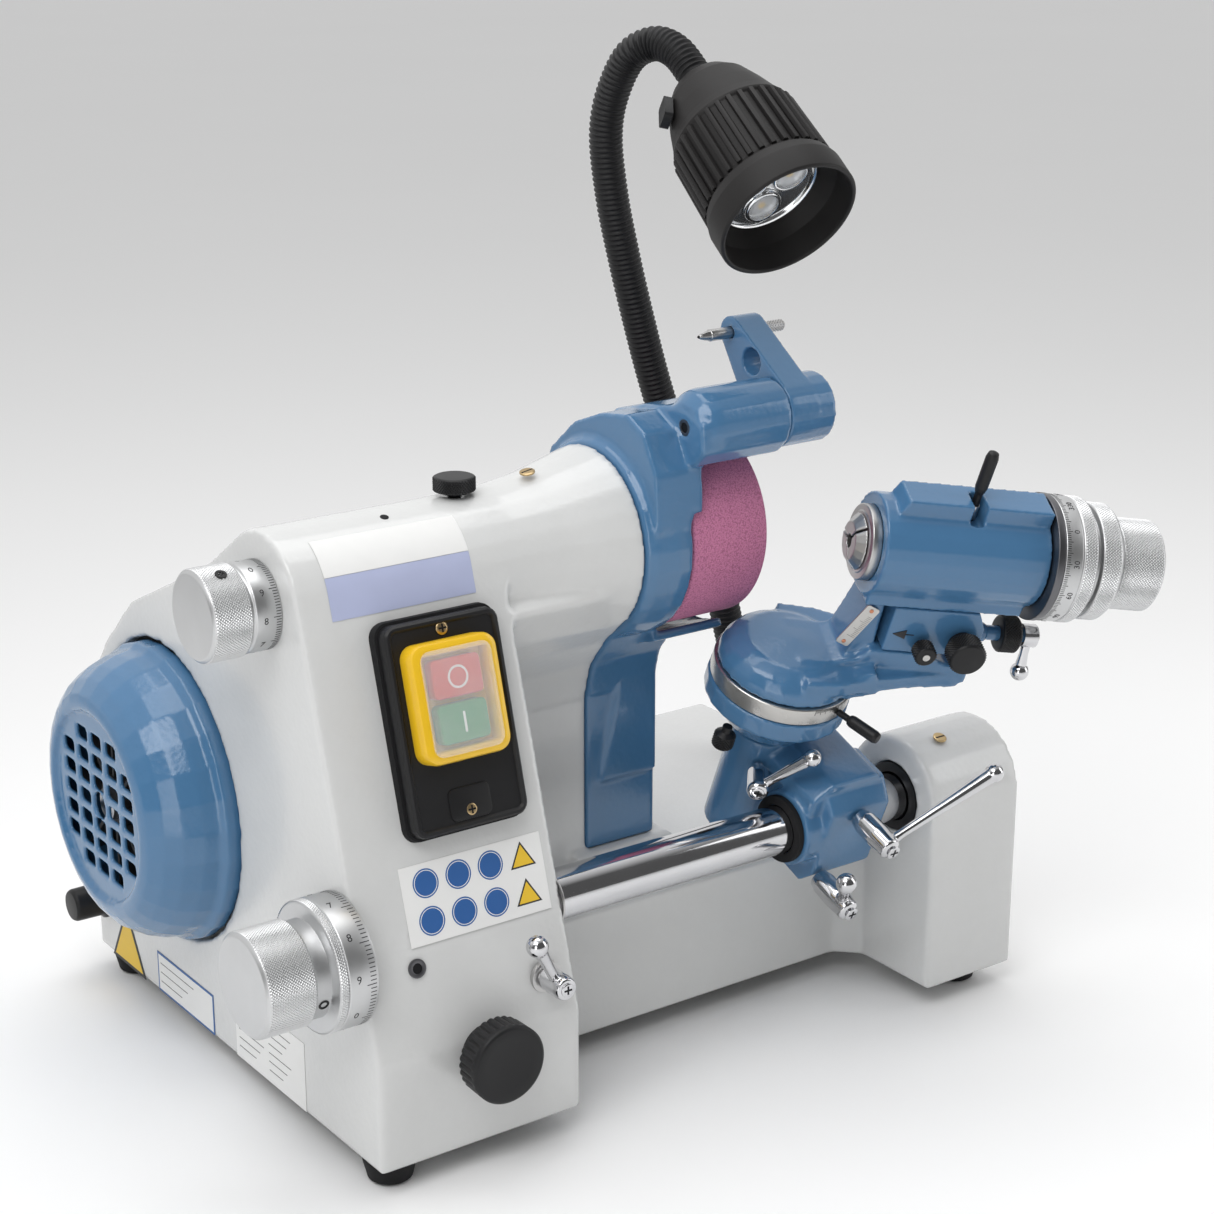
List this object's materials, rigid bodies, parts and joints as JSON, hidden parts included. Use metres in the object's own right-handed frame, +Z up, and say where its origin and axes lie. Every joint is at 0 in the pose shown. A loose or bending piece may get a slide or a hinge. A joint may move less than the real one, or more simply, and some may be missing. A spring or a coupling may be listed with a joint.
{
  "type": "tool and cutter grinder",
  "caption": "Bench tool and cutter grinder with a belt-driven grinding wheel, feed dials, a rocking and swivelling collet workhead, a wheel dresser and a gooseneck lamp.",
  "frame": {"origin": "centre of the bounding box at the height of the bench top", "axes": "+Z up, +X along the grinding spindle from the housing towards the wheel, -Y towards the operator"},
  "size_m": [0.5574, 0.4368, 0.5799],
  "materials": {
    "white_paint": "gloss hammered off-white enamel",
    "blue_paint": "gloss hammered steel-blue enamel",
    "chrome": "polished chrome plating",
    "steel": "turned steel",
    "aluminium": "knurled satin aluminium",
    "black_plastic": "matt moulded black plastic",
    "blackened_steel": "blackened steel",
    "rubber": "matt black rubber",
    "wheel": "pink bonded abrasive",
    "yellow_plastic": "gloss yellow plastic",
    "red_plastic": "gloss red plastic",
    "green_plastic": "gloss green plastic",
    "clear_cover": "clear flexible cover",
    "lamp_glass": "clear lens plate",
    "lamp_black": "matt black lamp housing"
  },
  "bodies": {
    "machine": {"base_casting": "white_paint", "foot_front_left": "rubber", "foot_front_right": "rubber", "foot_rear_left": "rubber", "foot_rear_right": "rubber", "wheelhead_casting": "blue_paint", "motor_body": "steel", "fan_cover": "blue_paint", "drive_belt": "rubber", "switch_plate": "black_plastic", "switch_bezel": "yellow_plastic", "switch_window": "clear_cover", "lamp_foot": "black_plastic", "lamp_hose_lower": "rubber"},
    "quill": {"spindle_quill": "steel", "rear_spindle_bearing": "steel", "front_spindle_bearing": "steel"},
    "grinding_spindle": {"wheel_spindle": "steel", "grinding_wheel": "wheel", "wheel_nut": "steel"},
    "motor_rotor": {"motor_shaft": "steel", "motor_fan": "black_plastic"},
    "wheel_dial": {"wheel_feed_dial": "aluminium"},
    "bar_dial": {"bar_feed_dial": "aluminium"},
    "bar": {"slide_bar": "chrome"},
    "bar_lever": {"bar_clamp_lever": "chrome"},
    "bed_knob": {"bed_clamp_knob": "black_plastic"},
    "quill_screw": {"quill_clamp_screw": "black_plastic"},
    "stop_switch": {"stop_button": "red_plastic"},
    "start_switch": {"start_button": "green_plastic"},
    "dresser": {"dresser_arm": "blue_paint"},
    "diamond": {"dresser_diamond": "steel"},
    "collar": {"carriage_collar": "rubber"},
    "carriage": {"carriage": "blue_paint"},
    "slide_lever": {"slide_clamp_lever": "chrome"},
    "rock_lever": {"rock_clamp_lever": "chrome"},
    "post_lever": {"post_clamp_lever": "chrome"},
    "post": {"swivel_post": "blue_paint", "angle_ring": "steel"},
    "lift_knob": {"post_lift_knob": "black_plastic"},
    "stop_knob": {"swivel_stop_knob": "black_plastic"},
    "ring_handle": {"ring_lock_handle": "black_plastic"},
    "arm": {"swivel_arm": "blue_paint"},
    "tilt_knob": {"tilt_clamp_knob": "black_plastic"},
    "workhead": {"tilt_block": "blue_paint", "workhead_body": "blue_paint"},
    "relief_knob": {"relief_stop_knob": "black_plastic"},
    "tail_ring": {"tail_nut": "black_plastic"},
    "tail_lever": {"tail_clamp_lever": "chrome"},
    "work_spindle": {"work_spindle": "steel", "collet": "steel", "index_plate": "blackened_steel", "index_collar": "aluminium"},
    "lock_ring": {"spindle_lock_ring": "aluminium"},
    "drawbar": {"drawbar_knob": "aluminium"},
    "index_plunger": {"index_pin": "black_plastic"},
    "lamp_neck": {"lamp_hose_upper": "rubber"},
    "lamp_head": {"lamp_shell": "lamp_black", "lamp_lens": "lamp_glass"},
    "lamp_switch": {"lamp_rocker": "black_plastic"}
  },
  "joints": [
    {"name": "quill_slide", "type": "slide", "parent": "machine", "child": "quill", "axis": [1, 0, 0], "range_m": [-0.001, 0.005]},
    {"name": "wheel_dial_turn", "type": "hinge", "parent": "machine", "child": "wheel_dial", "pos_m": [-0.2387, -0.02155, 0.303], "axis": [1, 0, 0], "range_deg": [-905, 905]},
    {"name": "wheel_spin", "type": "hinge", "parent": "quill", "child": "grinding_spindle", "pos_m": [-0.0687, -0.02155, 0.303], "axis": [1, 0, 0], "continuous": true},
    {"name": "motor_spin", "type": "hinge", "parent": "machine", "child": "motor_rotor", "pos_m": [-0.1887, 0.10745, 0.155], "axis": [1, 0, 0], "continuous": true},
    {"name": "bar_slide", "type": "slide", "parent": "machine", "child": "bar", "axis": [1, 0, 0], "range_m": [-0.005, 0.008]},
    {"name": "bar_dial_turn", "type": "hinge", "parent": "machine", "child": "bar_dial", "pos_m": [-0.2487, -0.09855, 0.129], "axis": [1, 0, 0], "range_deg": [-725, 725]},
    {"name": "bar_lever_turn", "type": "hinge", "parent": "machine", "child": "bar_lever", "pos_m": [-0.1107, -0.13155, 0.098], "axis": [0, 1, 0], "range_deg": [-30, 60]},
    {"name": "bed_knob_turn", "type": "hinge", "parent": "machine", "child": "bed_knob", "pos_m": [-0.1537, -0.14655, 0.07], "axis": [0, 1, 0], "range_deg": [-180, 180]},
    {"name": "quill_screw_turn", "type": "hinge", "parent": "machine", "child": "quill_screw", "pos_m": [-0.0977, -0.02155, 0.345], "axis": [0, 0, 1], "range_deg": [-180, 180]},
    {"name": "stop_press", "type": "slide", "parent": "machine", "child": "stop_switch", "axis": [0, 0.963, -0.2696], "range_m": [0, 0.002], "stiffness_N_per_m": 400},
    {"name": "start_press", "type": "slide", "parent": "machine", "child": "start_switch", "axis": [0, 0.963, -0.2696], "range_m": [0, 0.002], "stiffness_N_per_m": 400},
    {"name": "dresser_swing", "type": "hinge", "parent": "machine", "child": "dresser", "pos_m": [0.0813, -0.07155, 0.3736], "axis": [1, 0, 0], "range_deg": [-20, 90]},
    {"name": "diamond_slide", "type": "slide", "parent": "dresser", "child": "diamond", "axis": [1, 0, 0], "range_m": [-0.005, 0.02]},
    {"name": "carriage_travel", "type": "slide", "parent": "bar", "child": "collar", "axis": [1, 0, 0], "range_m": [-0.003, 0.018]},
    {"name": "carriage_rock", "type": "hinge", "parent": "collar", "child": "carriage", "pos_m": [0.0863, -0.09855, 0.129], "axis": [1, 0, 0], "range_deg": [-1, 20]},
    {"name": "slide_lever_turn", "type": "hinge", "parent": "carriage", "child": "slide_lever", "pos_m": [0.1103, -0.14313, 0.13256], "axis": [0, 0.9272, 0.3746], "range_deg": [-40, 20]},
    {"name": "rock_lever_turn", "type": "hinge", "parent": "carriage", "child": "rock_lever", "pos_m": [0.0943, -0.12665, 0.09176], "axis": [0, 0.9272, 0.3746], "range_deg": [-40, 60]},
    {"name": "post_lever_turn", "type": "hinge", "parent": "carriage", "child": "post_lever", "pos_m": [0.0863, -0.06229, 0.16738], "axis": [-0.5878, -0.7501, -0.3031], "range_deg": [-15, 10]},
    {"name": "post_lift", "type": "slide", "parent": "carriage", "child": "post", "axis": [0, -0.3746, 0.9272], "range_m": [0, 0.012]},
    {"name": "lift_knob_turn", "type": "hinge", "parent": "carriage", "child": "lift_knob", "pos_m": [0.0863, -0.03906, 0.10989], "axis": [0, -0.3746, 0.9272], "range_deg": [-180, 180]},
    {"name": "stop_knob_turn", "type": "hinge", "parent": "post", "child": "stop_knob", "pos_m": [0.0503, -0.07647, 0.18646], "axis": [0, -0.3746, 0.9272], "range_deg": [-180, 180]},
    {"name": "ring_handle_turn", "type": "hinge", "parent": "post", "child": "ring_handle", "pos_m": [0.10284, -0.13674, 0.1977], "axis": [0.2756, -0.8913, -0.3601], "range_deg": [-90, 90]},
    {"name": "arm_swivel", "type": "hinge", "parent": "post", "child": "arm", "pos_m": [0.0863, -0.08776, 0.23043], "axis": [0, -0.3746, 0.9272], "range_deg": [-58, 25]},
    {"name": "tilt_knob_turn", "type": "hinge", "parent": "arm", "child": "tilt_knob", "pos_m": [0.15848, -0.16063, 0.23874], "axis": [0.4019, 0.849, 0.343], "range_deg": [-180, 180]},
    {"name": "head_tilt", "type": "hinge", "parent": "arm", "child": "workhead", "pos_m": [0.17054, -0.13516, 0.24903], "axis": [0.4019, 0.849, 0.343], "range_deg": [0, 15]},
    {"name": "relief_knob_turn", "type": "hinge", "parent": "workhead", "child": "relief_knob", "pos_m": [0.13811, -0.14716, 0.24094], "axis": [0.4019, 0.849, 0.343], "range_deg": [-180, 180]},
    {"name": "tail_ring_turn", "type": "hinge", "parent": "workhead", "child": "tail_ring", "pos_m": [0.20098, -0.15047, 0.2396], "axis": [0.9157, -0.3727, -0.1506], "range_deg": [-180, 180]},
    {"name": "tail_lever_turn", "type": "hinge", "parent": "workhead", "child": "tail_lever", "pos_m": [0.21288, -0.15532, 0.23764], "axis": [0.9157, -0.3727, -0.1506], "range_deg": [-60, 60]},
    {"name": "work_spin", "type": "hinge", "parent": "workhead", "child": "work_spindle", "pos_m": [0.17786, -0.15724, 0.29511], "axis": [0.9157, -0.3727, -0.1506], "continuous": true},
    {"name": "lock_ring_turn", "type": "hinge", "parent": "work_spindle", "child": "lock_ring", "pos_m": [0.23281, -0.17961, 0.28607], "axis": [0.9157, -0.3727, -0.1506], "range_deg": [-180, 180]},
    {"name": "drawbar_turn", "type": "hinge", "parent": "work_spindle", "child": "drawbar", "pos_m": [0.2557, -0.18892, 0.28231], "axis": [0.9157, -0.3727, -0.1506], "continuous": true},
    {"name": "index_pull", "type": "slide", "parent": "workhead", "child": "index_plunger", "axis": [0, -0.3746, 0.9272], "range_m": [0, 0.004]},
    {"name": "lamp_bend", "type": "hinge", "parent": "machine", "child": "lamp_neck", "pos_m": [0.1286, 0.08495, 0.3255], "axis": [0, 1, 0], "range_deg": [-12, 12]},
    {"name": "lamp_roll", "type": "hinge", "parent": "lamp_neck", "child": "lamp_head", "pos_m": [0.0873, 0.00585, 0.5541], "axis": [-0.052, -0.8029, -0.5939], "range_deg": [-60, 60]},
    {"name": "lamp_switch_rock", "type": "hinge", "parent": "lamp_head", "child": "lamp_switch", "pos_m": [0.05438, -0.0099, 0.53837], "axis": [0.1028, 0.5872, -0.8029], "range_deg": [-3, 3]}
  ],
  "couplings": [
    {"joint": "wheel_dial_turn", "follows": "quill_slide", "rad_per_m": 3141.6},
    {"joint": "bar_dial_turn", "follows": "bar_slide", "rad_per_m": 1570.8},
    {"joint": "motor_spin", "follows": "wheel_spin", "ratio": 0.525},
    {"joint": "lift_knob_turn", "follows": "post_lift", "rad_per_m": 247.25}
  ]
}
